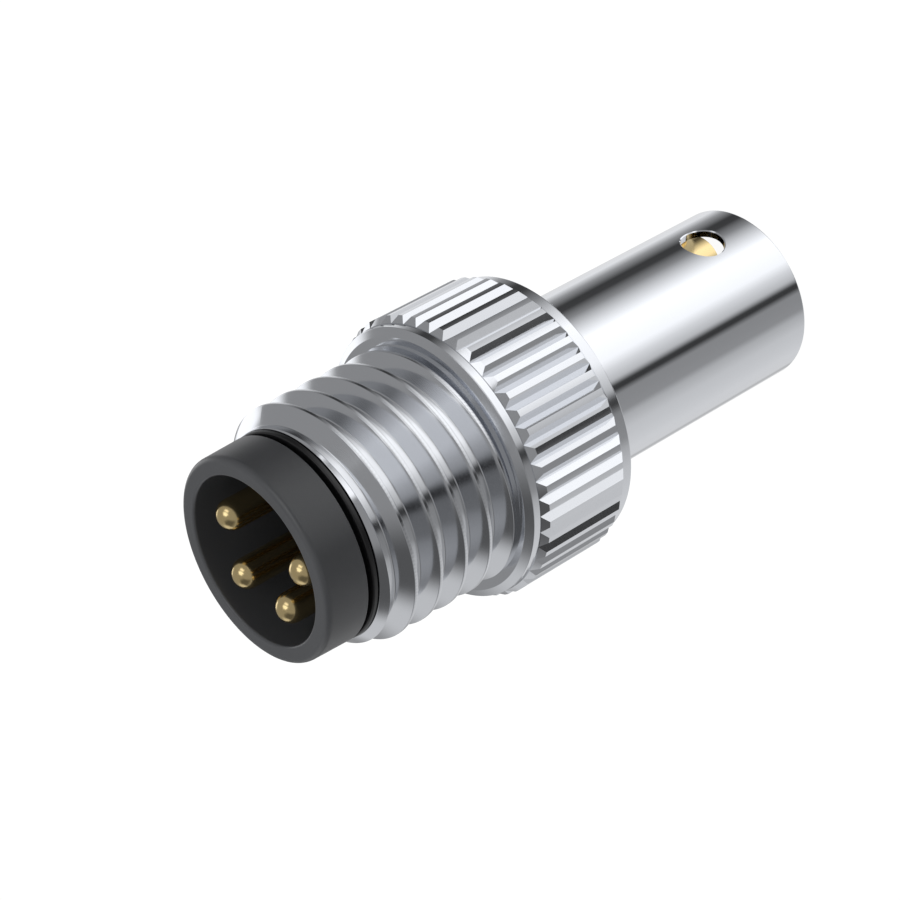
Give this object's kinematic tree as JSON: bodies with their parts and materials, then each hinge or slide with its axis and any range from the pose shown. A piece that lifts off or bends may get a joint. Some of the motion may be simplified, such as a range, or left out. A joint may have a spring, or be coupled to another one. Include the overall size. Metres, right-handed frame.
{
  "type": "circular connector insert",
  "caption": "Circular plug insert with round contacts in an open collar, a knurled coupling screw with an outside thread, and a tubular shield sleeve with a side hole.",
  "frame": {"origin": "centre of the shield sleeve's open rear end, on the surface that it stands on", "axes": "+Z along the plug's axis, towards the contact tips; the hole in the sleeve looks to -Y; +X is to the right when looking along +Y"},
  "size_m": [0.0094, 0.0094, 0.0212],
  "materials": {
    "carrier_plastic": "moulded, fine matt texture",
    "gold_plating": "gold plating over turned brass",
    "nickel_plating": "nickel plating over turned brass",
    "nickel_sheet": "bright nickel plating over a drawn brass tube",
    "seal_rubber": "smooth black rubber"
  },
  "bodies": {
    "plug_body": {"contact_carrier": "carrier_plastic", "contact_1": "gold_plating", "contact_2": "gold_plating", "contact_3": "gold_plating", "contact_4": "gold_plating", "shield_sleeve": "nickel_sheet", "seal_ring": "seal_rubber"},
    "screw": {"coupling_screw": "nickel_plating"}
  },
  "joints": [
    {"name": "screw_turn", "type": "hinge", "parent": "plug_body", "child": "screw", "pos_m": [0, 0, 0.0145], "axis": [0, 0, 1], "continuous": true}
  ]
}
